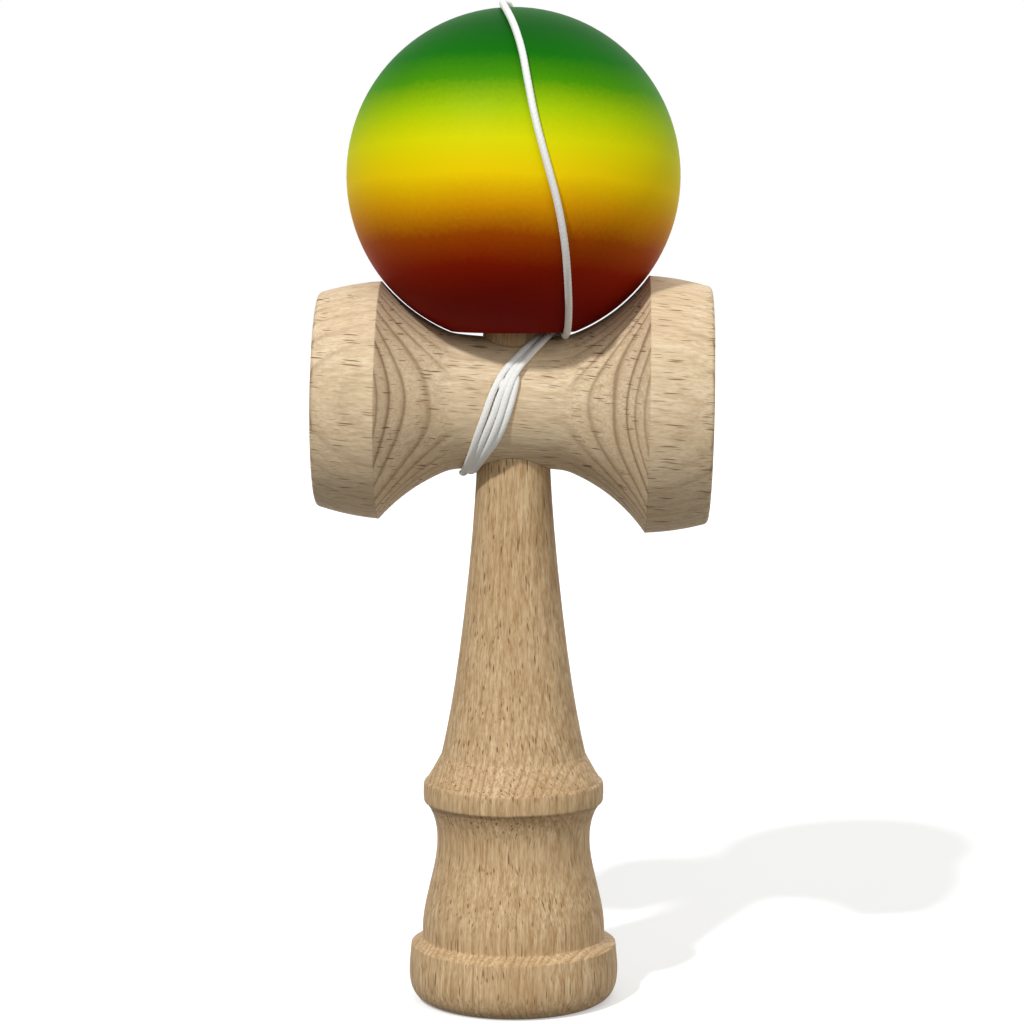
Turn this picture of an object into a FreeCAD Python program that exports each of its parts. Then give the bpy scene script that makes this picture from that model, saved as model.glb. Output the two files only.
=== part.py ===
"""A kendama: a turned wooden handle with a spike, a cross piece with two cups, and a ball on a string.

Millimetres. The origin is the centre of the base rim on the floor. +Z runs up the handle to the spike,
+X points to the big cup and -Y to the side where the string lies over the ball.
"""
import FreeCAD, Part
import math
import os

os.makedirs("parts", exist_ok=True)
V = FreeCAD.Vector

# General clearances and the overrun that every cut uses
overrun = 2.0
wood_fit = 0.05
seat_gap = 0.25
string_gap = 0.15

# Ken: the handle, from the floor up
ken_height = 158.5
foot_radius = 16.5
foot_edge_height = 1.0
foot_edge_radius = 18.1
base_ring_radius = 19.3
base_ring_top_radius = 19.0
base_ring_height = 10.4
base_ring_bulge_share = 0.7
base_cup_radius = 15.4
base_cup_depth = 6.5
lower_body_height = 11.7
lower_body_radius = 16.85
lower_waist_radius = 14.2
lower_waist_height = 31.4
lower_flare_radius = 15.2
lower_flare_height = 35.4
middle_ring_bottom_height = 36.9
middle_ring_radius = 16.6
middle_ring_top_height = 41.1
ring_edge_radius = 0.5
collar_height = 43.1
collar_radius = 14.9
neck_foot_height = 45.9
neck_foot_radius = 13.35
neck_top_radius = 6.75
neck_curve_shares = [(0.14, 0.765), (0.33, 0.522), (0.55, 0.302), (0.78, 0.118)]
shaft_top_radius = 5.6
spike_tip_radius = 1.6
spike_curve_shares = [(0.35, 0.79), (0.7, 0.42)]

# Sarado: the cross piece, turned about its own X axis
sarado_height = 111.0
sarado_half_length = 35.8
sarado_tilt = 0.87
waist_radius = 11.85
waist_flare_radius = 12.35
ridge_offset = 24.4
big_ridge_radius = 23.5
big_rim_radius = 21.8
small_ridge_radius = 21.75
small_rim_radius = 19.7
small_flank_start = 11.5
small_flank_shares = (0.47, 0.345)
flank_gap = 0.25
waist_blend_radius = 8.0
wall_bulge = 0.3
edge_bulge_share = 0.2
rim_round = 0.7
rim_width = 2.0
big_cup_depth = 9.5
small_cup_depth = 8.5

# Tama: the ball and its two holes
ball_radius = 30.35
mouth_radius = 11.4
mouth_bevel = 1.0
mouth_gap = 1.15
ball_hole_depth = 43.5
hole_cone_depth = 2.5
string_hole_radius = 1.6
top_countersink_radius = 2.7
top_countersink_depth = 1.3

# String, its bead and its knots
string_diameter = 1.3
bead_radius = 3.2
bead_flat = 0.8
bead_hole_radius = 0.95
bead_gap = 0.6
knot_radius = 1.7
knot_flat = 0.3
knot_seat = 1.7
pocket_radius = 2.1
cross_hole_radius = 1.15
sarado_string_hole_radius = 1.3
string_hole_angle = 12.0
string_hole_rise = 3.2

# Winding: strands side by side, every second one lifted over the groove between its neighbours
string_turns = 4
top_pitch = 0.9
bottom_pitch = 1.19
layer_lift = 1.73
front_lane_x = -3.97
front_pitch = 1.13
front_lean = 0.43
back_lane_x = -6.34
back_pitch = 3.58
back_lean = 0.65
back_even_lift = 0.15
back_odd_lift = 0.48
start_turn = 24.0
start_drift = 3.3
hole_exit = 11.3

# Route over the ball: angles above the ball's middle and round from the front, and the points at its ends
ball_step = 13.0
ball_route = [(-61, 42.5), (-48, 30), (-35, 23.7), (-22, 19.8), (-9, 16.1), (4, 12.1), (17, 8.8),
              (30, 6.8), (43, 5.3), (56, 2.3), (68, -3), (78, -13)]
under_rim_run = 2.6
under_rim_point = (9.6, -7.6, -1.3)
crest_point = (-1.3, -2.3, 1.3)
hole_point = 0.2
corner_share = 0.45

# Checks of the winding's own gap leave out this many diameters of string on each side of a point
neighbour_diameters = 3.0
straight_limit = 1e-9

string_radius = string_diameter / 2
ball_height = (sarado_height + waist_radius + mouth_gap
               + math.sqrt(ball_radius ** 2 - mouth_radius ** 2))
mouth_height = ball_height - math.sqrt(ball_radius ** 2 - mouth_radius ** 2)

# The big flank of the sarado is hollowed to the ball's curve, and the waist is one arc that ends on it.
# The ball's middle lies a little to one side of the sarado's own middle, because the sarado is tilted
hug_radius = ball_radius + flank_gap
hug_height = (ball_height - sarado_height) * math.cos(math.radians(sarado_tilt))
hug_offset = -(ball_height - sarado_height) * math.sin(math.radians(sarado_tilt))
waist_end = hug_offset + math.sqrt(hug_radius ** 2 - (hug_height - waist_flare_radius) ** 2)
waist_sag = waist_flare_radius - waist_radius
waist_arc_radius = (waist_end ** 2 + waist_sag ** 2) / (2 * waist_sag)


def line(start, end):
    return Part.LineSegment(start, end).toShape()


def arc(start, middle, end):
    return Part.Arc(start, middle, end).toShape()


def curve(points):
    spline = Part.BSplineCurve()
    spline.interpolate(points)
    return spline.toShape()


def at(radius, height):
    """A point of an outline that is turned about Z."""
    return V(radius, 0, height)


def turned(edges, axis):
    """The solid that a closed outline makes when it turns once about an axis through the origin."""
    face = Part.Face(Part.Wire(Part.__sortEdges__(edges)))
    return face.revolve(V(0, 0, 0), axis, 360)


def dish(rim_radius, depth):
    """The ball-shaped cutter of a cup, with the cup's mouth at z = 0 and the hollow above it."""
    sphere_radius = (rim_radius ** 2 + depth ** 2) / (2 * depth)
    ball = Part.makeSphere(sphere_radius)
    ball.translate(V(0, 0, depth - sphere_radius))
    return ball


def bulged(start, end, bulge):
    """An arc between two outline points that stands out from the straight line by the bulge."""
    middle = (start + end) * 0.5
    along = end - start
    out = V(along.z, 0, -along.x)
    out.normalize()
    return arc(start, middle + out * bulge, end)


def edge_arc(start, end, size):
    """A small rounded edge of the given size."""
    return bulged(start, end, size * edge_bulge_share)


def save(shape, name):
    solids = shape.Solids
    result = solids[0] if len(solids) == 1 else Part.makeCompound(solids)
    result.exportStep("parts/" + name + ".step")
    print(name, "solids", len(solids), "volume", round(result.Volume, 1), "valid", result.isValid())
    return result


# Ken: radius of the shaft that the sarado is pushed on to, a straight taper between the neck and the spike
def shaft_radius(height):
    below = sarado_height - waist_radius
    share = (height - below) / (2 * waist_radius)
    return neck_top_radius + (shaft_top_radius - neck_top_radius) * share


def radial(height, distance):
    """The point at a distance along the string hole's direction from the ken's axis."""
    turn = math.radians(string_hole_angle)
    return V(-distance * math.sin(turn), -distance * math.cos(turn), height)


def hole_along_string(radius, start, end):
    """A cylinder along the string hole between two distances from the ken's axis."""
    height = sarado_height + string_hole_rise
    direction = radial(0, end) - radial(0, start)
    return Part.makeCylinder(radius, end - start, radial(height, start), direction)


def make_ken():
    neck_bottom = sarado_height - waist_radius
    shaft_top = sarado_height + waist_radius
    spike_length = ken_height - shaft_top
    neck_rise = neck_bottom - neck_foot_height
    neck_drop = neck_foot_radius - neck_top_radius
    neck = [at(neck_foot_radius, neck_foot_height)]
    for rise, width in neck_curve_shares:
        neck.append(at(neck_top_radius + neck_drop * width, neck_foot_height + neck_rise * rise))
    neck.append(at(neck_top_radius, neck_bottom))
    spike = [at(shaft_top_radius, shaft_top)]
    for rise, width in spike_curve_shares:
        spike.append(at(spike_tip_radius + (shaft_top_radius - spike_tip_radius) * width,
                        shaft_top + (spike_length - spike_tip_radius) * rise))
    spike.append(at(spike_tip_radius, ken_height - spike_tip_radius))
    tip_corner = spike_tip_radius * math.sin(math.radians(45))
    ring_low = at(middle_ring_radius - ring_edge_radius, middle_ring_bottom_height)
    ring_side = at(middle_ring_radius, middle_ring_bottom_height + ring_edge_radius)
    ring_top = at(middle_ring_radius, middle_ring_top_height - ring_edge_radius)
    ring_high = at(middle_ring_radius - ring_edge_radius, middle_ring_top_height)
    edges = [
        line(at(0, 0), at(foot_radius, 0)),
        curve([at(foot_radius, 0), at(foot_edge_radius, foot_edge_height),
               at(base_ring_radius, base_ring_height * base_ring_bulge_share),
               at(base_ring_top_radius, base_ring_height)]),
        line(at(base_ring_top_radius, base_ring_height), at(lower_body_radius, lower_body_height)),
        curve([at(lower_body_radius, lower_body_height),
               at((lower_body_radius + lower_waist_radius) / 2,
                  (lower_body_height + lower_waist_height) / 2),
               at(lower_waist_radius, lower_waist_height),
               at(lower_flare_radius, lower_flare_height),
               ring_low]),
        edge_arc(ring_low, ring_side, ring_edge_radius),
        edge_arc(ring_side, ring_top, ring_edge_radius),
        edge_arc(ring_top, ring_high, ring_edge_radius),
        curve([ring_high, at(collar_radius, collar_height), at(neck_foot_radius, neck_foot_height)]),
        curve(neck),
        line(at(neck_top_radius, neck_bottom), at(shaft_top_radius, shaft_top)),
        curve(spike),
        arc(at(spike_tip_radius, ken_height - spike_tip_radius),
            at(tip_corner, ken_height - spike_tip_radius + tip_corner),
            at(0, ken_height)),
        line(at(0, ken_height), at(0, 0)),
    ]
    ken = turned(edges, V(0, 0, 1))
    ken = ken.cut(dish(base_cup_radius, base_cup_depth))
    shaft = shaft_radius(sarado_height + string_hole_rise)
    ken = ken.cut(hole_along_string(cross_hole_radius, -shaft - overrun, shaft + overrun))
    return ken.cut(hole_along_string(pocket_radius, -shaft - overrun, -knot_seat))


def waist(x):
    """Radius of the waist that the string lies on, at a place along the sarado."""
    return waist_radius + waist_arc_radius - math.sqrt(waist_arc_radius ** 2 - x ** 2)


def make_sarado():
    def out(x, radius):
        return V(x, 0, radius)

    def big_flank(x):
        return out(x, hug_height - math.sqrt(hug_radius ** 2 - (x - hug_offset) ** 2))

    big_ridge = out(ridge_offset, big_ridge_radius)
    big_rim = out(sarado_half_length - rim_round, big_rim_radius)
    big_lip = out(sarado_half_length, big_rim_radius - rim_round)
    small_span = ridge_offset - small_flank_start
    small_rise = small_ridge_radius - waist(small_flank_start)
    small_start = out(-small_flank_start, waist(small_flank_start))
    small_middle = small_start + out(-small_span * small_flank_shares[0], small_rise * small_flank_shares[1])
    small_ridge = out(-ridge_offset, small_ridge_radius)
    small_rim = out(-sarado_half_length + rim_round, small_rim_radius)
    small_lip = out(-sarado_half_length, small_rim_radius - rim_round)
    waist_right = out(waist_end, waist_flare_radius)
    edges = [
        line(out(-sarado_half_length, 0), small_lip),
        edge_arc(small_lip, small_rim, -rim_round),
        bulged(small_rim, small_ridge, -wall_bulge),
        arc(small_ridge, small_middle, small_start),
        arc(small_start, out(0, waist_radius), waist_right),
        arc(waist_right, big_flank((waist_end + ridge_offset) / 2), big_ridge),
        bulged(big_ridge, big_rim, -wall_bulge),
        edge_arc(big_rim, big_lip, -rim_round),
        line(big_lip, out(sarado_half_length, 0)),
        line(out(sarado_half_length, 0), out(-sarado_half_length, 0)),
    ]
    sarado = turned(edges, V(1, 0, 0))
    # The waist blends into both flanks, with no corner where they meet
    corners = [edge for edge in sarado.Edges for corner in (waist_right, small_start)
               if edge.isClosed() and (edge.Vertexes[0].Point - corner).Length < wood_fit]
    sarado = sarado.makeFillet(waist_blend_radius, corners)
    for side, rim_radius, depth in ((1, big_rim_radius, big_cup_depth), (-1, small_rim_radius, small_cup_depth)):
        cup = dish(rim_radius - rim_width, depth)
        cup.rotate(V(0, 0, 0), V(0, 1, 0), -90 * side)
        cup.translate(V(side * sarado_half_length, 0, 0))
        sarado = sarado.cut(cup)
    sarado.rotate(V(0, 0, 0), V(0, 1, 0), sarado_tilt)
    sarado.translate(V(0, 0, sarado_height))
    low = sarado_height - waist_radius - overrun
    high = sarado_height + waist_radius + overrun
    bore = Part.makeCone(shaft_radius(low) + wood_fit, shaft_radius(high) + wood_fit, high - low,
                         V(0, 0, low), V(0, 0, 1))
    sarado = sarado.cut(bore)
    return sarado.cut(hole_along_string(sarado_string_hole_radius, 0, waist_radius + overrun))


def make_tama():
    """The ball is one turned outline: the sphere, the bevelled hole below and the string hole on top."""
    bore = mouth_radius - mouth_bevel
    ceiling = mouth_height + ball_hole_depth
    rim_height = ball_height + math.sqrt(ball_radius ** 2 - top_countersink_radius ** 2)
    mouth = at(mouth_radius, mouth_height)
    top = at(top_countersink_radius, rim_height)
    throat = at(string_hole_radius, rim_height - top_countersink_depth)
    hole_end = at(string_hole_radius, ceiling)
    hole_corner = at(bore, ceiling - hole_cone_depth)
    bevel_end = at(bore, mouth_height + mouth_bevel)
    return turned([
        arc(mouth, at(ball_radius, ball_height), top),
        line(top, throat),
        line(throat, hole_end),
        line(hole_end, hole_corner),
        line(hole_corner, bevel_end),
        line(bevel_end, mouth),
    ], V(0, 0, 1))


# The bead hangs just under the hole's end, and its knot is flat where it meets the bead
bead_half_height = bead_radius - bead_flat
bead_height = mouth_height + ball_hole_depth - bead_gap - bead_half_height
bead_knot_top = bead_height - bead_half_height - wood_fit
sarado_knot_face = -knot_seat - wood_fit


def make_bead():
    bead = Part.makeSphere(bead_radius).common(
        Part.makeCylinder(bead_radius, 2 * bead_half_height, V(0, 0, -bead_half_height)))
    bead = bead.cut(Part.makeCylinder(bead_hole_radius, 2 * bead_radius, V(0, 0, -bead_radius)))
    bead.translate(V(0, 0, bead_height))
    return bead


def make_knot(face_centre, outward):
    """A knot's outer shape: a ball with a flat face where the string enters it."""
    direction = V(outward)
    direction.normalize()
    flat = knot_radius - knot_flat
    centre = face_centre - direction * flat
    ball = Part.makeSphere(knot_radius, centre)
    keep = Part.makeCylinder(knot_radius, 2 * knot_radius, face_centre - direction * 2 * knot_radius, direction)
    return ball.common(keep)


def arc_from(start, heading, end):
    """The arc that leaves the start along a heading and ends at the end."""
    chord = end - start
    side = heading - chord * (heading.dot(chord) / chord.dot(chord))
    if side.Length < straight_limit:
        return line(start, end)
    half_turn = heading.getAngle(chord)
    side.normalize()
    middle = (start + end) * 0.5 + side * (chord.Length / 2 * math.tan(half_turn / 2))
    return arc(start, middle, end)


def biarc(start, heading, end, end_heading):
    """Two arcs that join two points along two headings."""
    across = end - start
    turn = 2 * (heading.dot(end_heading) - 1)
    reach = 2 * across.dot(heading + end_heading)
    step = (reach - math.sqrt(reach ** 2 - 4 * turn * across.dot(across))) / (2 * turn)
    joint = (start + heading * step + end - end_heading * step) * 0.5
    back = arc_from(end, end_heading * -1, joint)
    return [arc_from(start, heading, joint), back]


def tube(path, start, heading):
    ring = Part.Wire(Part.makeCircle(string_radius, start, heading))
    return Part.Wire(path).makePipeShell([ring], True, False)


def station(x, angle, lift, lean):
    """A point of the winding and its heading. The angle is 0 at the back and 90 on top."""
    turn = math.radians(angle)
    distance = waist(x) + string_gap + string_radius + lift
    heading = V(lean, -math.sin(turn), math.cos(turn))
    heading.normalize()
    return V(x, distance * math.cos(turn), sarado_height + distance * math.sin(turn)), heading


def lane_lift(lane):
    """Every second strand lies in the groove between its neighbours."""
    return layer_lift if lane % 2 else 0


def top_station(lane):
    x = shaft_top_radius + string_gap + string_radius + (lane - 1) * top_pitch
    return station(x, 90, lane_lift(lane), 0)


def front_station(lane):
    return station(front_lane_x + lane * front_pitch, 180, lane_lift(lane), -front_lean)


def bottom_station(lane):
    x = neck_top_radius + 2 * string_gap + string_radius + (string_turns - 1 - lane) * bottom_pitch
    return station(-x, 270, lane_lift(lane), 0)


def back_station(lane):
    lift = back_odd_lift if lane % 2 else back_even_lift
    return station(back_lane_x + (lane - 1) * back_pitch, 360, lift, back_lean)


def winding_route():
    """Out of the string hole, down the front, then round the waist, and off the top towards the ball."""
    height = sarado_height + string_hole_rise
    out_of_hole = radial(0, 1)
    hole_mouth = radial(height, hole_exit)
    route = [line(radial(height, sarado_knot_face), hole_mouth)]
    here, heading = hole_mouth, out_of_hole
    stations = [station(front_lane_x - start_drift, 180 + start_turn, 0, -front_lean), bottom_station(0)]
    for lane in range(1, string_turns):
        stations += [back_station(lane), top_station(lane), front_station(lane), bottom_station(lane)]
    top, top_heading = top_station(string_turns)
    stations += [back_station(string_turns), (top - top_heading * string_diameter, top_heading)]
    for there, there_heading in stations:
        route += biarc(here, heading, there, there_heading)
        here, heading = there, there_heading
    route.append(line(here, top))
    return route, radial(height, sarado_knot_face), out_of_hole


def self_gap(path, spacing):
    """Least gap between parts of a tube that are well apart along it."""
    points = Part.Wire(path).discretize(Distance=spacing)
    skip = int(neighbour_diameters * string_diameter / spacing) + 1
    least = min((points[i] - points[j]).Length
                for i in range(len(points)) for j in range(i + skip, len(points)))
    return least - string_diameter


def on_ball(rise, turn):
    """A point of the route over the ball, by its angle above the ball's middle and round from the front."""
    distance = ball_radius + string_radius + seat_gap
    distance = distance / math.cos(math.radians(ball_step / 2))
    rise, turn = math.radians(rise), math.radians(turn)
    return V(distance * math.cos(rise) * math.sin(turn), -distance * math.cos(rise) * math.cos(turn),
             ball_height + distance * math.sin(rise))


def over_ball_route():
    """From the top of the winding, under the rim of the ball, over its front and down into the top hole."""
    top, heading = top_station(string_turns)
    crest = ball_height + ball_radius
    points = [top, top + heading * under_rim_run]
    points.append(V(0, 0, mouth_height) + V(*under_rim_point))
    points += [on_ball(rise, turn) for rise, turn in ball_route]
    points += [V(0, 0, crest) + V(*crest_point),
               V(0, 0, crest + hole_point),
               V(0, 0, bead_knot_top)]
    return points


def rounded_route(points):
    """Straight runs joined by arcs that are as large as the two runs at each point allow."""
    route, radii = [], []
    here = points[0]
    for before, point, after in zip(points, points[1:], points[2:]):
        arrive, leave = point - before, after - point
        turn = arrive.getAngle(leave)
        reach = corner_share * min(arrive.Length, leave.Length)
        arrive.normalize()
        leave.normalize()
        start, end = point - arrive * reach, point + leave * reach
        radius = reach / math.tan(turn / 2)
        inward = leave - arrive
        inward.normalize()
        middle = point + inward * (math.hypot(radius, reach) - radius)
        route += [line(here, start), arc(start, middle, end)]
        radii.append(round(radius, 1))
        here = end
    route.append(line(here, points[-1]))
    return route, radii


def string_tube(route, start, heading, name):
    shape = tube(route, start, heading)
    length = Part.Wire(route).Length
    share = shape.Volume / (length * math.pi * string_radius ** 2)
    print(name, "length", round(length, 1), "volume over section times length", round(share, 4))
    return save(shape, name)


def main():
    save(make_ken(), "ken")
    save(make_sarado(), "sarado")
    save(make_tama(), "tama")
    save(make_bead(), "bead")
    save(make_knot(V(0, 0, bead_knot_top), V(0, 0, 1)), "bead_knot")
    string_height = sarado_height + string_hole_rise
    save(make_knot(radial(string_height, sarado_knot_face), radial(0, 1)), "sarado_knot")
    winding, start, heading = winding_route()
    string_tube(winding, start, heading, "string_winding")
    print("winding's least gap to itself", round(self_gap(winding, string_radius / 2), 3))
    points = over_ball_route()
    over_ball, radii = rounded_route(points)
    string_tube(over_ball, points[0], points[1] - points[0], "string_over_ball")
    print("radii over the ball", radii)


main()
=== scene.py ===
"""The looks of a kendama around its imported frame: a turned beech handle and cross piece, a painted ball
and a white braided string wound round the waist of the cross piece. Metres, +Z up, the viewer at -Y.
"""
import math

import bpy
import numpy as np
from mathutils import Matrix, Vector


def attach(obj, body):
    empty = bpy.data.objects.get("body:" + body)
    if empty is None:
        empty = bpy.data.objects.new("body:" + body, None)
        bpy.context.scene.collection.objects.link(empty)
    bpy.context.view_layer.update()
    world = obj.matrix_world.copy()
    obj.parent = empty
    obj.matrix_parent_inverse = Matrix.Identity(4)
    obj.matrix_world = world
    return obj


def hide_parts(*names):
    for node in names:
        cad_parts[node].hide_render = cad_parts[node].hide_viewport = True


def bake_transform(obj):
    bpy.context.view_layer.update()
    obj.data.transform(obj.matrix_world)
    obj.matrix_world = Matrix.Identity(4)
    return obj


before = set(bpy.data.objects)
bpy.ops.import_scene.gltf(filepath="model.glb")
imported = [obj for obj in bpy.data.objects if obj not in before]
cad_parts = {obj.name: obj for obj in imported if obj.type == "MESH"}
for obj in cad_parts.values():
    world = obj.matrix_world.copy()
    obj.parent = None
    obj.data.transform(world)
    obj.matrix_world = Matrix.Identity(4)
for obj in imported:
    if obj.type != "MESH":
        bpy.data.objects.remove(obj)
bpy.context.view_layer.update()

MM = 0.001
scene = bpy.context.scene


# Camera: a long lens about half a metre away, a little above the cross piece and looking slightly down
camera_distance = 530 * MM
camera_height = 142.4 * MM
camera_turn = math.radians(1.1)
camera_dip = math.radians(5.56)
aim_turn = math.radians(0.03)
lens_length = 101.83
film_width = 36.0

camera_data = bpy.data.cameras.new("camera")
camera_data.lens = lens_length
camera_data.sensor_width = film_width
camera_data.clip_start = 10 * MM
camera = bpy.data.objects.new("camera", camera_data)
camera.location = (camera_distance * math.sin(camera_turn), -camera_distance * math.cos(camera_turn),
                   camera_height)
camera.rotation_euler = (math.radians(90) - camera_dip, 0, camera_turn + aim_turn)
scene.collection.objects.link(camera)
scene.camera = camera


# String: about half a metre of white polyester braid. It starts at a knot in the handle, comes out of the
# cross piece's small hole, goes round the waist and over the ball, and ends at the bead inside the ball.
string_diameter = 1.3 * MM
waist_height = 111.0 * MM
waist_radius = 11.85 * MM
waist_sag = 0.5 * MM
waist_end = 9.79 * MM
ball_radius = 30.35 * MM
mouth_radius = 11.4 * MM
mouth_gap = 1.15 * MM
seat_gap = 0.12 * MM
ball_hole_depth = 43.5 * MM
mouth_height = waist_height + waist_radius + mouth_gap
ball_height = mouth_height + math.sqrt(ball_radius ** 2 - mouth_radius ** 2)
ball_top = ball_height + ball_radius

hole_angle = math.radians(12.0)
hole_rise = 3.2 * MM
hole_middle = 6.0 * MM
hole_exit = 11.9 * MM
knot_face = -1.75 * MM
wound_half_width = 0.6 * MM
wound_half_height = 0.43 * MM
free_radius = 0.64 * MM
# Degrees round the waist from one point of the route to the next
station_step = 12.0

# Places of the strands on the front of the waist, for each angle above the front: the distance in mm along
# the waist and the height in strands above the wood, for the first, second and third turn
front_lay = [
    (90, (8.3, 0.9), (7.65, 0.0), (6.4, 0.0)),
    (60, (5.6, 0.75), (4.75, 0.0), (3.1, 0.15)),
    (45, (3.3, 0.7), (2.45, 0.0), (0.95, 0.1)),
    (34, (1.4, 0.8), (0.4, 0.4), (-1.05, 0.2)),
    (21, (-0.1, 0.8), (-1.05, 0.6), (-2.6, 0.3)),
    (7, (-1.15, 0.4), (-2.4, 0.2), (-3.9, 0.0)),
    (-5, (-1.9, 0.3), (-3.2, 0.15), (-4.75, 0.0)),
    (-25, (-3.5, 0.3), (-4.95, 0.2), (-6.35, 0.0)),
    (-47, (-5.5, 0.4), (-6.6, 0.1), (-7.65, 0.05)),
    (-61, (-6.8, 0.3), (-7.6, 0.0), (-8.5, 0.05)),
    (-90, (-8.0, 0.2), (-8.75, 0.0), (-9.5, 0.05)),
]
# The first strand comes out of the hole under the others and joins them on their right side
start_lay = [(19, -1.7, 0.0), (24, -0.5, 0.0), (27, 0.55, 0.1), (22, 0.8, 0.3), (13, 0.35, 0.1),
             (4, -0.1, 0.0), (-6, -0.75, 0.0), (-19, -1.7, 0.0), (-33, -3.1, 0.0), (-47, -4.9, 0.0),
             (-62, -6.3, 0.0), (-78, -7.0, 0.0), (-90, -7.4, 0.0)]
# Across the back each turn goes from its place below to the next turn's place on top. The last one crosses
# over the others: the shares of the half turn, and its height there
last_turn = 3
last_lay_shares = [0.0, 0.25, 0.5, 0.75, 1.0]
last_lay_lifts = [1.0, 1.6, 2.0, 1.0, 0.0]
last_top_place = 9.25

# Points over the ball: the angles above its middle and round from the front, then where the string dives
# under its rim and where it rises over the edge of the hole on top
ball_step = 13.0
ball_route = [(-61, 41), (-48, 28.9), (-35, 22.7), (-22, 18.9), (-9, 15.3), (4, 11.4), (17, 8.2),
              (30, 6.3), (43, 4.9), (56, 1.6), (68, -4.8), (78, -17)]
under_rim_run = 2.6 * MM
under_rim_point = Vector((9.5, -7.2, -0.75)) * MM
crest_point = Vector((-1.7, -2.3, 0.55)) * MM
hole_point = 0.2 * MM
bead_gap = 0.6 * MM
bead_half_height = 2.4 * MM
knot_gap = 0.05 * MM
bead_knot_top = mouth_height + ball_hole_depth - bead_gap - 2 * bead_half_height - knot_gap


def waist_at(x):
    """Radius of the hollow waist at a place along the cross piece. At its ends it is wider by waist_sag."""
    curve_radius = (waist_end ** 2 + waist_sag ** 2) / (2 * waist_sag)
    return waist_radius + curve_radius - math.sqrt(curve_radius ** 2 - x ** 2)


def on_waist(angle, place, lift):
    """A point on the waist, by its angle above the front, its place in mm and its lift in strand heights.

    It stands further out than the string by the rounding, because the smooth line cuts inside its corners.
    """
    turn = math.radians(angle)
    rounding = 1 / math.cos(math.radians(station_step / 2))
    distance = (waist_at(place * MM) + wound_half_height * (1 + 2 * lift)) * rounding
    return Vector((place * MM, -distance * math.cos(turn), waist_height + distance * math.sin(turn)))


def lay_of(strand, angle):
    """Place and lift of a turn on the front, between the places that the list gives."""
    angles = [-row[0] for row in front_lay]
    return [float(np.interp(-angle, angles, [row[1 + strand][i] for row in front_lay])) for i in (0, 1)]


def on_ball(rise, turn):
    """A point over the ball, by its angle above the ball's middle and round from the front.

    It stands further out than the string, as on the waist.
    """
    distance = (ball_radius + string_diameter / 2 + seat_gap) / math.cos(math.radians(ball_step / 2))
    rise, turn = math.radians(rise), math.radians(turn)
    return Vector((distance * math.cos(rise) * math.sin(turn), -distance * math.cos(rise) * math.cos(turn),
                   ball_height + distance * math.sin(rise)))


out_of_hole = Vector((-math.sin(hole_angle), -math.cos(hole_angle), 0))
hole_axis = Vector((0, 0, waist_height + hole_rise))
route = [hole_axis + out_of_hole * distance for distance in (knot_face, hole_middle, hole_exit)]
route += [on_waist(*spot) for spot in start_lay]
steps = int(180 / station_step)
# Each turn climbs across the back, and all but the last come down over the front
for turn_number in range(last_turn + 1):
    below, below_lift = start_lay[-1][1:] if turn_number == 0 else lay_of(turn_number - 1, -90)
    above, above_lift = (last_top_place, 0.0) if turn_number == last_turn else lay_of(turn_number, 90)
    for step in range(1, steps):
        share = step / steps
        swing = (1 - math.cos(math.pi * share)) / 2
        lift = below_lift + (above_lift - below_lift) * share
        if turn_number == last_turn:
            lift = float(np.interp(share, last_lay_shares, last_lay_lifts))
        route.append(on_waist(-90 - 180 * share, below + (above - below) * swing, lift))
    if turn_number < last_turn:
        route += [on_waist(angle, *lay_of(turn_number, angle)) for angle in
                  (90 - station_step * step for step in range(steps + 1))]
top = on_waist(90, last_top_place, 0)
route += [top, top + Vector((0, -under_rim_run, 0)), Vector((0, 0, mouth_height)) + under_rim_point]
route += [on_ball(rise, turn) for rise, turn in ball_route]
route += [Vector((0, 0, ball_top)) + crest_point, Vector((0, 0, ball_top + hole_point)),
          Vector((0, 0, bead_knot_top))]

line_data = bpy.data.curves.new("string_line", "CURVE")
line_data.dimensions = "3D"
line_data.resolution_u = 8
spline = line_data.splines.new("NURBS")
spline.points.add(len(route) - 1)
for control, point in zip(spline.points, route):
    control.co = (*point, 1)
spline.order_u = 3
spline.use_endpoint_u = True
line_object = bpy.data.objects.new("string_line", line_data)
scene.collection.objects.link(line_object)
line_mesh = bpy.data.meshes.new_from_object(line_object)
line_points = np.array([v.co for v in line_mesh.vertices])
bpy.data.objects.remove(line_object)


def evenly(points, spacing):
    """The same line with its points a steady distance apart, and its whole length."""
    reached = np.concatenate([[0], np.cumsum(np.linalg.norm(np.diff(points, axis=0), axis=1))])
    places = np.linspace(0, reached[-1], int(reached[-1] / spacing) + 1)
    return np.stack([np.interp(places, reached, points[:, i]) for i in range(3)], axis=1), reached[-1]


# The braid has eight yarns, four going each way. Each shows as a low ridge that dives under the next one
braid_lay = 3.6 * MM
braid_relief = 0.045
ring_spacing = 0.16 * MM
ring_points = 24
yarns_each_way = 4


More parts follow.
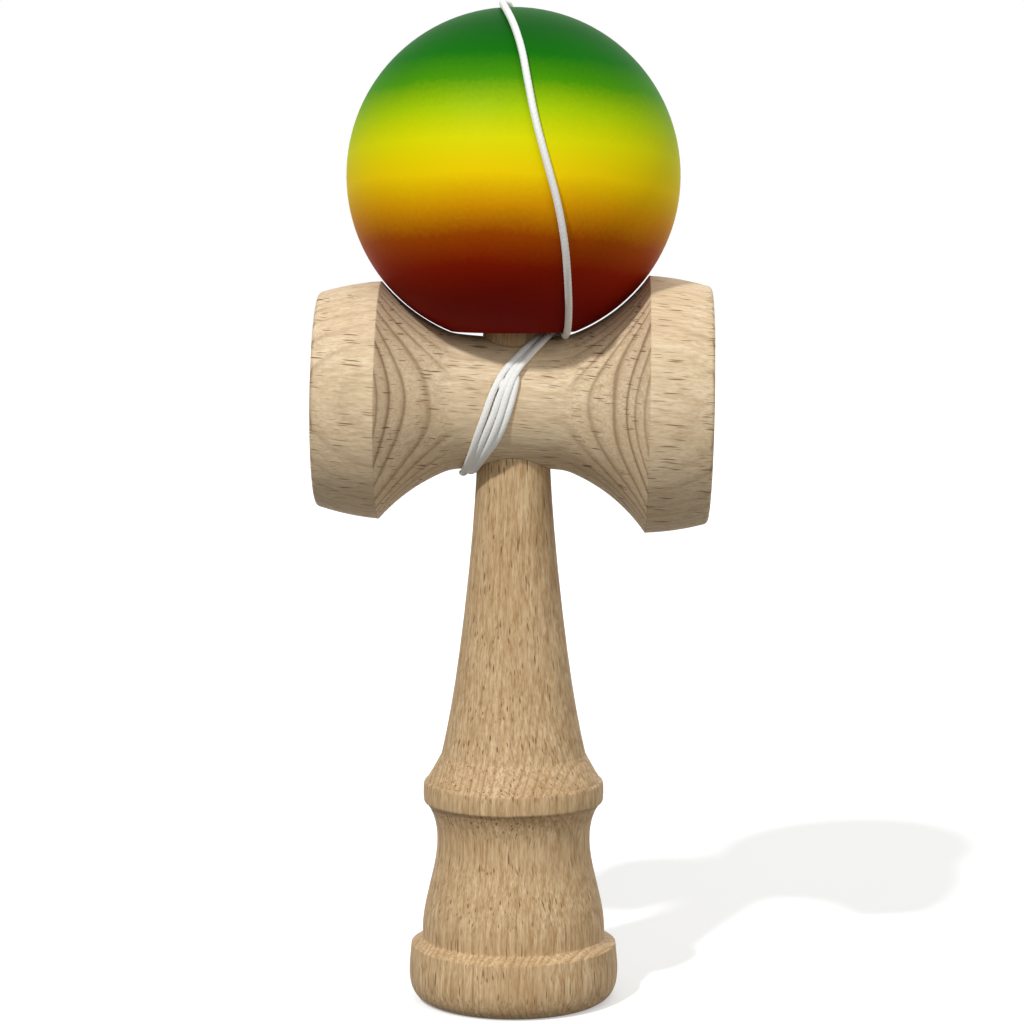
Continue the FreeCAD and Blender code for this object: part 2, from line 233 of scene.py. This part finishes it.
def tube_mesh(name, points, radius_at, pressed=None):
    """A tube along a line, with a ring of points at each of its points and the braid raised on it.

    radius_at gives the radius at a share of the length. pressed, if given, takes each point, its ring and
    that share, and gives the ring as it is squeezed there.
    """
    ahead = np.gradient(points, axis=0)
    ahead /= np.linalg.norm(ahead, axis=1)[:, None]
    side = np.cross(ahead[0], (0, 0, 1.0))
    side /= np.linalg.norm(side)
    around = np.linspace(0, 2 * math.pi, ring_points, endpoint=False)
    rings = []
    for number, (point, heading) in enumerate(zip(points, ahead)):
        side = side - heading * side.dot(heading)
        side /= np.linalg.norm(side)
        other = np.cross(heading, side)
        along = number * ring_spacing * 2 * math.pi / braid_lay
        # The ridges of the yarns that go each way round, and which of them lies on top
        right = np.cos(yarns_each_way * (around + along))
        left = np.cos(yarns_each_way * (around - along))
        over = np.cos(yarns_each_way * along) * np.cos(yarns_each_way * around)
        raised = np.maximum(right + 0.5 * over, left - 0.5 * over)
        share = number / (len(points) - 1)
        radius = radius_at(share) * (1 + braid_relief * (raised - 0.5))
        ring = np.outer(radius * np.cos(around), side) + np.outer(radius * np.sin(around), other)
        rings.append(point + (pressed(point, ring, share) if pressed else ring))
    vertices = np.concatenate(rings)
    rows, columns = np.meshgrid(np.arange(len(points) - 1), np.arange(ring_points), indexing="ij")
    following = (columns + 1) % ring_points
    faces = np.stack([rows * ring_points + columns, rows * ring_points + following,
                      (rows + 1) * ring_points + following, (rows + 1) * ring_points + columns], axis=-1)
    ends = [list(range(ring_points))[::-1], list(range(len(vertices) - ring_points, len(vertices)))]
    mesh = bpy.data.meshes.new(name)
    mesh.from_pydata(vertices.tolist(), [], faces.reshape(-1, 4).tolist() + ends)
    mesh.polygons.foreach_set("use_smooth", [True] * len(mesh.polygons))
    mesh.update()
    return mesh


def linear(code):
    """A colour written as sRGB hex, as the shaders want it."""
    parts = [int(code[i:i + 2], 16) / 255 for i in (1, 3, 5)]
    return tuple(p / 12.92 if p <= 0.04045 else ((p + 0.055) / 1.055) ** 2.4 for p in parts) + (1,)


def add(tree, kind, settings=None, **links):
    """A node of that kind with its settings, and its inputs set to values or linked to other outputs.

    An input is named, with _ for a space, or numbered, as in _0. The two colours of a Mix node are 6 and 7.
    """
    node = tree.nodes.new("ShaderNode" + kind)
    for name, value in (settings or {}).items():
        setattr(node, name, value)
    for name, value in links.items():
        socket = node.inputs[int(name[1:])] if name[1:].isdigit() else node.inputs[name.replace("_", " ")]
        if isinstance(value, bpy.types.NodeSocket):
            tree.links.new(value, socket)
        else:
            socket.default_value = value
    return node


def new_material(name, **surface):
    """A material with one Principled surface, and its node tree."""
    material = bpy.data.materials.new(name)
    material.use_nodes = True
    tree = material.node_tree
    shader = tree.nodes["Principled BSDF"]
    for socket, value in surface.items():
        shader.inputs[socket.replace("_", " ")].default_value = value
    return material, tree, shader


# Braided polyester: bright white yarns with a dull sheen and an uneven tone from their filaments, which are
# drawn coarser than they are, so that they show
braid_material, tree, shader = new_material("white_polyester_braid", Roughness=0.62, Sheen_Weight=0.25,
                                            Sheen_Roughness=0.5)
fibre_width = 0.12 * MM
place = add(tree, "TexCoord").outputs["Object"]
fibres = add(tree, "TexNoise", Vector=place, Scale=1 / fibre_width, Detail=2.0)
tone = add(tree, "ValToRGB", Fac=fibres.outputs["Fac"])
tone.color_ramp.elements[0].color = linear("#DADAD6")
tone.color_ramp.elements[1].color = linear("#F6F6F3")
tone.color_ramp.elements[0].position = 0.25
tone.color_ramp.elements[1].position = 0.7
tree.links.new(tone.outputs["Color"], shader.inputs["Base Color"])
fuzz = add(tree, "Bump", Strength=0.35, Distance=0.04 * MM, Height=fibres.outputs["Fac"])
tree.links.new(fuzz.outputs["Normal"], shader.inputs["Normal"])

# The last 118 mm of the string lie over the ball. It swells from its wound size to its full one over 12 mm
centreline, string_length = evenly(line_points, ring_spacing)
over_ball_share = 118.0 * MM / string_length
swell_share = 12.0 * MM / string_length


def wound_at(share):
    """How far the string is wound at this share of its length: 1 on the waist and 0 over the ball."""
    return np.clip((1 - over_ball_share - share) / swell_share + 0.5, 0, 1)


def string_radius_at(share):
    """The string is drawn thin where it is wound tight, and thicker over the ball."""
    return free_radius + (wound_half_width - free_radius) * wound_at(share)


def flat_on_waist(point, ring, share):
    """The wound string is squeezed flat against the wood, like a ribbon."""
    outward = np.array((0, point[1], point[2] - waist_height))
    outward /= np.linalg.norm(outward)
    squeeze = (1 - wound_half_height / wound_half_width) * wound_at(share)
    return ring - np.outer(ring @ outward * squeeze, outward)


# Its two ends are each tied in a small tight knot. One sits under the bead inside the ball, the other in the
# pocket inside the handle, and each bears on what the string pulls it against
knot_radius = 1.7 * MM
knot_flat = 0.3 * MM
knot_strand = 0.55 * MM
knot_steps = 160


def knot_mesh(name, face, outward):
    """A string tied round itself three times, pulled tight, with its middle behind the face it bears on."""
    outward = Vector(outward).normalized()
    middle = Vector(face) - outward * (knot_radius - knot_flat)
    side = outward.orthogonal().normalized()
    other = outward.cross(side)
    reach = (knot_radius - knot_strand) / 3
    points = []
    for turn in np.linspace(0, 2 * math.pi, knot_steps):
        spread = reach * (2 + math.cos(3 * turn))
        points.append(middle + side * spread * math.cos(2 * turn) + other * spread * math.sin(2 * turn)
                      + outward * reach * math.sin(3 * turn))
    return tube_mesh(name, np.array(points), lambda share: knot_strand)


for name, body, node, face, outward in (
        ("knot_under_bead", "bead", "bead_knot", (0, 0, bead_knot_top), (0, 0, 1)),
        ("knot_in_handle", "handle", "sarado_knot", hole_axis + out_of_hole * knot_face, out_of_hole)):
    knot_object = bpy.data.objects.new(name, knot_mesh(name, face, outward))
    knot_object.data.materials.append(braid_material)
    scene.collection.objects.link(knot_object)
    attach(knot_object, body)
    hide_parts(node)

# The whole string is one tube along its route, pressed flat where it is wound round the waist
string_mesh = tube_mesh("string", centreline, string_radius_at, flat_on_waist)
string_mesh.materials.append(braid_material)
string = bpy.data.objects.new("string", string_mesh)
scene.collection.objects.link(string)
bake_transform(string)
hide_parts("string_winding", "string_over_ball")


# Ken: the handle with its spike, turned from one piece of beech, sanded and left bare. The grain runs up it,
# and its growth rings face the right front.
eased_edge = 0.45 * MM
ring_brown = "#7E5C3C"
ray_brown = "#6E4B30"


def cells(along, outward, across):
    """The scale that gives a pattern's cells these sizes in mm, in the wood's own coordinates."""
    return 1 / along, 1 / outward, 1 / across


def beech(tree, grain, outward, pale, dark, ring_width, ring_strength, side_strength, fleck_depth):
    """Solid beech: growth rings with a dark edge, the short brown flecks of its rays, and fine long fibres.

    grain is the way that the tree grew, and outward the way from its middle. pale and dark are the tones of
    its fibres. ring_width and fleck_depth are in mm, and the two strengths are the rings' on end grain and
    beside it. Gives the colour and the height.
    """
    grain, outward = Vector(grain).normalized(), Vector(outward).normalized()
    turn = Matrix((grain, outward, grain.cross(outward))).to_euler()
    spot = add(tree, "TexCoord")
    place = add(tree, "Mapping", Vector=spot.outputs["Object"], Rotation=turn,
                Scale=(1 / MM, 1 / MM, 1 / MM)).outputs["Vector"]

    # Rings: each is pale wood that darkens slowly and ends in a brown line. They wander by a few mm, differ
    # in strength, and show most where the surface cuts across the grain
    ring_wander = 4.2
    wander = add(tree, "Mapping", Vector=place, Scale=cells(50, 7, 26))
    wander = add(tree, "TexNoise", Vector=wander.outputs["Vector"], Scale=1.0, Detail=1.0)
    depth = add(tree, "SeparateXYZ", Vector=place).outputs["Y"]
    depth = add(tree, "Math", {"operation": "MULTIPLY_ADD"}, _0=wander.outputs["Fac"], _1=ring_wander,
                _2=depth)
    count = add(tree, "Math", {"operation": "DIVIDE"}, _0=depth.outputs["Value"], _1=ring_width)
    part_way = add(tree, "Math", {"operation": "FRACT"}, _0=count.outputs["Value"])
    number = add(tree, "Math", {"operation": "FLOOR"}, _0=count.outputs["Value"])
    luck = add(tree, "TexWhiteNoise", {"noise_dimensions": "1D"}, W=number.outputs["Value"])
    luck = add(tree, "MapRange", Value=luck.outputs["Value"], To_Min=0.5)
    facing = add(tree, "VectorMath", {"operation": "DOT_PRODUCT"}, _0=spot.outputs["Normal"], _1=grain)
    facing = add(tree, "Math", {"operation": "MULTIPLY"}, _0=facing.outputs["Value"],
                 _1=facing.outputs["Value"])
    strength = add(tree, "MapRange", Value=facing.outputs["Value"], From_Max=0.3, To_Min=side_strength,
                   To_Max=ring_strength)
    strength = add(tree, "Math", {"operation": "MULTIPLY"}, _0=strength.outputs["Result"],
                   _1=luck.outputs["Result"])
    edge = add(tree, "ValToRGB", Fac=part_way.outputs["Value"])
    for share, level in ((0.0, 0.7), (0.06, 0.3), (0.2, 0.03), (0.6, 0.12), (0.78, 0.42), (0.9, 1.0)):
        stop = edge.color_ramp.elements.new(share)
        stop.color = (level, level, level, 1)
    # A new ramp has a stop at each end. The first one goes, and the last one is the line at its strongest
    edge.color_ramp.elements.remove(edge.color_ramp.elements[0])
    ring = add(tree, "Math", {"operation": "MULTIPLY"}, _0=edge.outputs["Color"],
               _1=strength.outputs["Value"])

    # Rays: bundles of cells that show as thin dashes along the grain. The largest are 5 mm long and 0.3 mm
    # thick, and they bend a little with the wood
    bend_size = 9.0
    bend_reach = (0.5, 0.5, 0.9)
    bend = add(tree, "TexNoise", Vector=place, Scale=1 / bend_size, Detail=1.0)
    bent = add(tree, "VectorMath", {"operation": "MULTIPLY_ADD"}, _0=bend.outputs["Color"], _1=bend_reach,
               _2=place)
    flecks = []
    for along, thick, level in ((7.2, 0.42, 0.85), (4.6, 0.3, 0.7)):
        spots = add(tree, "Mapping", Vector=bent.outputs["Vector"], Scale=cells(along, fleck_depth, thick))
        spots = add(tree, "TexVoronoi", Vector=spots.outputs["Vector"], Scale=1.0)
        size = add(tree, "SeparateColor", Color=spots.outputs["Color"]).outputs["Red"]
        size = add(tree, "MapRange", Value=size, To_Min=-0.12, To_Max=0.36).outputs["Result"]
        inside = add(tree, "Math", {"operation": "SUBTRACT"}, _0=size, _1=spots.outputs["Distance"])
        fleck = add(tree, "MapRange", Value=inside.outputs["Value"], From_Max=0.14, To_Max=level)
        flecks.append(fleck.outputs["Result"])
    fleck = add(tree, "Math", {"operation": "MAXIMUM"}, _0=flecks[0], _1=flecks[1])

    # Fibres and pores: fine streaks along the grain, over slow changes of tone from one part to the next
    streaks = 0
    for along, thick, weight in ((9.0, 0.8, 0.5), (4.6, 0.32, 0.55), (1.5, 0.2, 0.45)):
        fibres = add(tree, "Mapping", Vector=place, Scale=cells(along, thick, thick))
        fibres = add(tree, "TexNoise", Vector=fibres.outputs["Vector"], Scale=1.0, Detail=2.0)
        streaks = add(tree, "Math", {"operation": "MULTIPLY_ADD"}, _0=fibres.outputs["Fac"], _1=weight,
                      _2=streaks).outputs["Value"]
    tone = add(tree, "MapRange", Value=streaks, From_Min=0.57, From_Max=0.93)
    body = add(tree, "Mix", {"data_type": "RGBA"}, _0=tone.outputs["Result"], _6=linear(dark),
               _7=linear(pale))
    clouds = add(tree, "Mapping", Vector=place, Scale=cells(24, 7, 7))
    clouds = add(tree, "TexNoise", Vector=clouds.outputs["Vector"], Scale=1.0, Detail=3.0)
    clouds = add(tree, "MapRange", Value=clouds.outputs["Fac"], From_Min=0.35, From_Max=0.7, To_Max=0.4)
    colour = body.outputs[2]
    for share, tint in ((clouds.outputs["Result"], dark), (ring.outputs["Value"], ring_brown),
                        (fleck.outputs["Value"], ray_brown)):
        mixed = add(tree, "Mix", {"data_type": "RGBA", "clamp_factor": True}, _0=share, _6=colour,
                    _7=linear(tint))
        colour = mixed.outputs[2]
    height = add(tree, "Math", {"operation": "SUBTRACT"}, _0=streaks, _1=fleck.outputs["Value"])
    return colour, height.outputs["Value"]


def bare_beech(name, **wood):
    """Sanded beech without a finish: dull, with a faint tooth from its fibres and edges that are eased."""
    material, tree, shader = new_material(name, Roughness=0.65, Specular_IOR_Level=0.25)
    colour, height = beech(tree, **wood)
    tree.links.new(colour, shader.inputs["Base Color"])
    eased = add(tree, "Bevel", {"samples": 4}, Radius=eased_edge)
    tooth = add(tree, "Bump", Strength=0.4, Distance=0.03 * MM, Height=height, Normal=eased.outputs["Normal"])
    tree.links.new(tooth.outputs["Normal"], shader.inputs["Normal"])
    return material


def cover(node, material):
    """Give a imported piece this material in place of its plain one."""
    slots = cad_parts[node].data.materials
    slots.clear()
    slots.append(material)


ken_turn = math.radians(65)
ken_outward = (math.sin(ken_turn), -math.cos(ken_turn), 0)
cover("ken", bare_beech("sanded_beech_along_the_handle", grain=(0, 0, 1), outward=ken_outward,
                        pale="#DBC098", dark="#A58358", ring_width=1.3, ring_strength=0.55,
                        side_strength=0.25, fleck_depth=0.7))


# Sarado: the cross piece with the two cups, turned from beech with the grain running from cup to cup. Its
# rings face the front and back, so that they show as nested arcs on the hollow flanks.
cover("sarado", bare_beech("sanded_beech_along_the_cross_piece", grain=(1, 0, -0.07), outward=(0, 1, 0),
                           pale="#E7D4B3", dark="#C7AC88", ring_width=2.3, ring_strength=0.78,
                           side_strength=0.13, fleck_depth=3.0))


# Tama: the ball, turned wood sprayed with satin lacquer that fades from green through yellow to dark red. The
# hole, its bevel and the string hole were masked, so they are bare beech.
fade_tilt = math.radians(7)
fade_slope = 0.025
drift_size = 14 * MM
drift_share = 0.06
mist_size = 0.7 * MM
mist_share = 0.05
# The wood is bare up to the first of these shares of the ball's radius, and painted from the second
mask_edge = (0.975, 0.985)
# The colours of the lacquer, each at its height above the ball's middle in radii
fade = [(-0.85, "#740601"), (-0.62, "#8F1C01"), (-0.46, "#A84A01"), (-0.3, "#DC9802"), (-0.12, "#EFCD01"),
        (0.08, "#D4D300"), (0.26, "#9CBC00"), (0.44, "#428800"), (0.6, "#0E6504"), (0.8, "#055108")]

# Sprayed satin lacquer: it hardly shines, and has a faint peel and a mist of droplets where two colours meet.
# The droplets are drawn coarser than they are, so that they show
paint, tree, shader = new_material("sprayed_satin_lacquer", Specular_IOR_Level=0.04)
place = add(tree, "TexCoord").outputs["Object"]
unit = add(tree, "Mapping", Vector=place, Location=(0, 0, -ball_height / ball_radius),
           Scale=(1 / ball_radius, 1 / ball_radius, 1 / ball_radius)).outputs["Vector"]
from_middle = add(tree, "VectorMath", {"operation": "LENGTH"}, _0=unit).outputs["Value"]
leaned = add(tree, "Mapping", Vector=unit, Rotation=(fade_tilt, 0, 0)).outputs["Vector"]
leaned = add(tree, "SeparateXYZ", Vector=leaned)
level = add(tree, "Math", {"operation": "MULTIPLY_ADD"}, _0=leaned.outputs["X"], _1=fade_slope,
            _2=leaned.outputs["Z"])
drift = add(tree, "TexNoise", Vector=place, Scale=1 / drift_size, Detail=1.0)
mist = add(tree, "TexNoise", Vector=place, Scale=1 / mist_size, Detail=2.0)
for cloud, share in ((drift, drift_share), (mist, mist_share)):
    level = add(tree, "Math", {"operation": "MULTIPLY_ADD"}, _0=cloud.outputs["Fac"], _1=share,
                _2=level.outputs["Value"])
raised = (drift_share + mist_share) / 2
level = add(tree, "MapRange", Value=level.outputs["Value"], From_Min=raised - 1, From_Max=raised + 1)
ramp = add(tree, "ValToRGB", Fac=level.outputs["Result"])
for height, tint in fade:
    stop = ramp.color_ramp.elements.new((height + 1) / 2)
    stop.color = linear(tint)
# The stops that a new ramp has at its two ends go
ramp.color_ramp.elements.remove(ramp.color_ramp.elements[0])
ramp.color_ramp.elements.remove(ramp.color_ramp.elements[-1])
bare_colour = beech(tree, grain=(0, 0, 1), outward=(0, 1, 0), pale="#DBC098", dark="#A58358", ring_width=1.6,
                    ring_strength=0.5, side_strength=0.25, fleck_depth=0.7)[0]
painted = add(tree, "MapRange", Value=from_middle, From_Min=mask_edge[0], From_Max=mask_edge[1])
shown = add(tree, "Mix", {"data_type": "RGBA"}, _0=painted.outputs["Result"], _6=bare_colour,
            _7=ramp.outputs["Color"])
tree.links.new(shown.outputs[2], shader.inputs["Base Color"])
dull = add(tree, "MapRange", Value=painted.outputs["Result"], To_Min=0.65, To_Max=0.55)
tree.links.new(dull.outputs["Result"], shader.inputs["Roughness"])
peel = add(tree, "Bump", Strength=0.3, Distance=0.02 * MM, Height=mist.outputs["Fac"])
tree.links.new(peel.outputs["Normal"], shader.inputs["Normal"])
cover("tama", paint)


# Bead: a small drilled ball of plain beech, inside the painted ball at the end of its bore. The string's knot
# bears on it, and the painted ball turns round it.
cover("bead", bare_beech("sanded_beech_bead", grain=(0, 0, 1), outward=(1, 0, 0), pale="#DBC098",
                         dark="#A58358", ring_width=1.2, ring_strength=0.5, side_strength=0.25,
                         fleck_depth=0.7))


# Floor and light: a pale sweep, a lamp high on the left in front, a broad soft one lower on the right and one
# behind, and an even fill. Each lamp has its angles in degrees, round from the front and above the floor,
# then its breadth in degrees and its strength
lamps = [("key", -30, 45.5, 3.5, 2.15), ("front", 30, 30, 70, 0.95), ("back", 165, 35, 70, 0.7)]
fill_strength = 0.42
floor_reach = 3.0
floor_glow = 0.35

floor_data = bpy.data.meshes.new("floor")
floor_data.from_pydata([(-floor_reach, -floor_reach, 0), (floor_reach, -floor_reach, 0),
                        (floor_reach, floor_reach, 0), (-floor_reach, floor_reach, 0)], [], [(0, 1, 2, 3)])
floor = bpy.data.objects.new("floor", floor_data)
scene.collection.objects.link(floor)


def in_view(tree):
    """1 for what the camera sees, also in gloss or through glass, and 0 for the light on the object."""
    rays = add(tree, "LightPath")
    seen = rays.outputs["Is Camera Ray"]
    for kind in ("Is Glossy Ray", "Is Transmission Ray"):
        seen = add(tree, "Math", {"operation": "MAXIMUM"}, _0=seen, _1=rays.outputs[kind]).outputs["Value"]
    return seen


# The floor is pale paper, lit to white by itself where the camera sees it. Its light on the object is less
# than a white floor would give, so that the undersides stay darker
floor_material, tree, shader = new_material("pale_backdrop_paper", Roughness=1.0, Specular_IOR_Level=0.0,
                                            Emission_Strength=floor_glow)
shader.inputs["Base Color"].default_value = linear("#E7E7E5")
shader.inputs["Emission Color"].default_value = linear("#FFFFFF")
bounce = add(tree, "BsdfDiffuse", Color=linear("#6E6D6A"))
either = add(tree, "MixShader", _0=in_view(tree), _1=bounce.outputs["BSDF"], _2=shader.outputs["BSDF"])
tree.links.new(either.outputs["Shader"], tree.nodes["Material Output"].inputs["Surface"])
floor_data.materials.append(floor_material)

for name, turn, height, breadth, strength in lamps:
    lamp_data = bpy.data.lights.new(name, "SUN")
    lamp_data.energy = strength
    lamp_data.angle = math.radians(breadth)
    lamp = bpy.data.objects.new(name, lamp_data)
    turn, height = math.radians(turn), math.radians(height)
    towards = Vector((math.cos(height) * math.sin(turn), -math.cos(height) * math.cos(turn),
                      math.sin(height)))
    lamp.rotation_euler = towards.to_track_quat("Z", "Y").to_euler()
    scene.collection.objects.link(lamp)

world = bpy.data.worlds.new("studio")
world.use_nodes = True
scene.world = world
tree = world.node_tree
fill = tree.nodes["Background"]
fill.inputs["Strength"].default_value = fill_strength
fill.inputs["Color"].default_value = linear("#FFFFFF")
backdrop = add(tree, "Background", Color=linear("#FFFFFF"), Strength=1.0)
either = add(tree, "MixShader", _0=in_view(tree), _1=fill.outputs["Background"],
             _2=backdrop.outputs["Background"])
tree.links.new(either.outputs["Shader"], tree.nodes["World Output"].inputs["Surface"])
scene.view_settings.view_transform = "Standard"

bpy.context.view_layer.update()
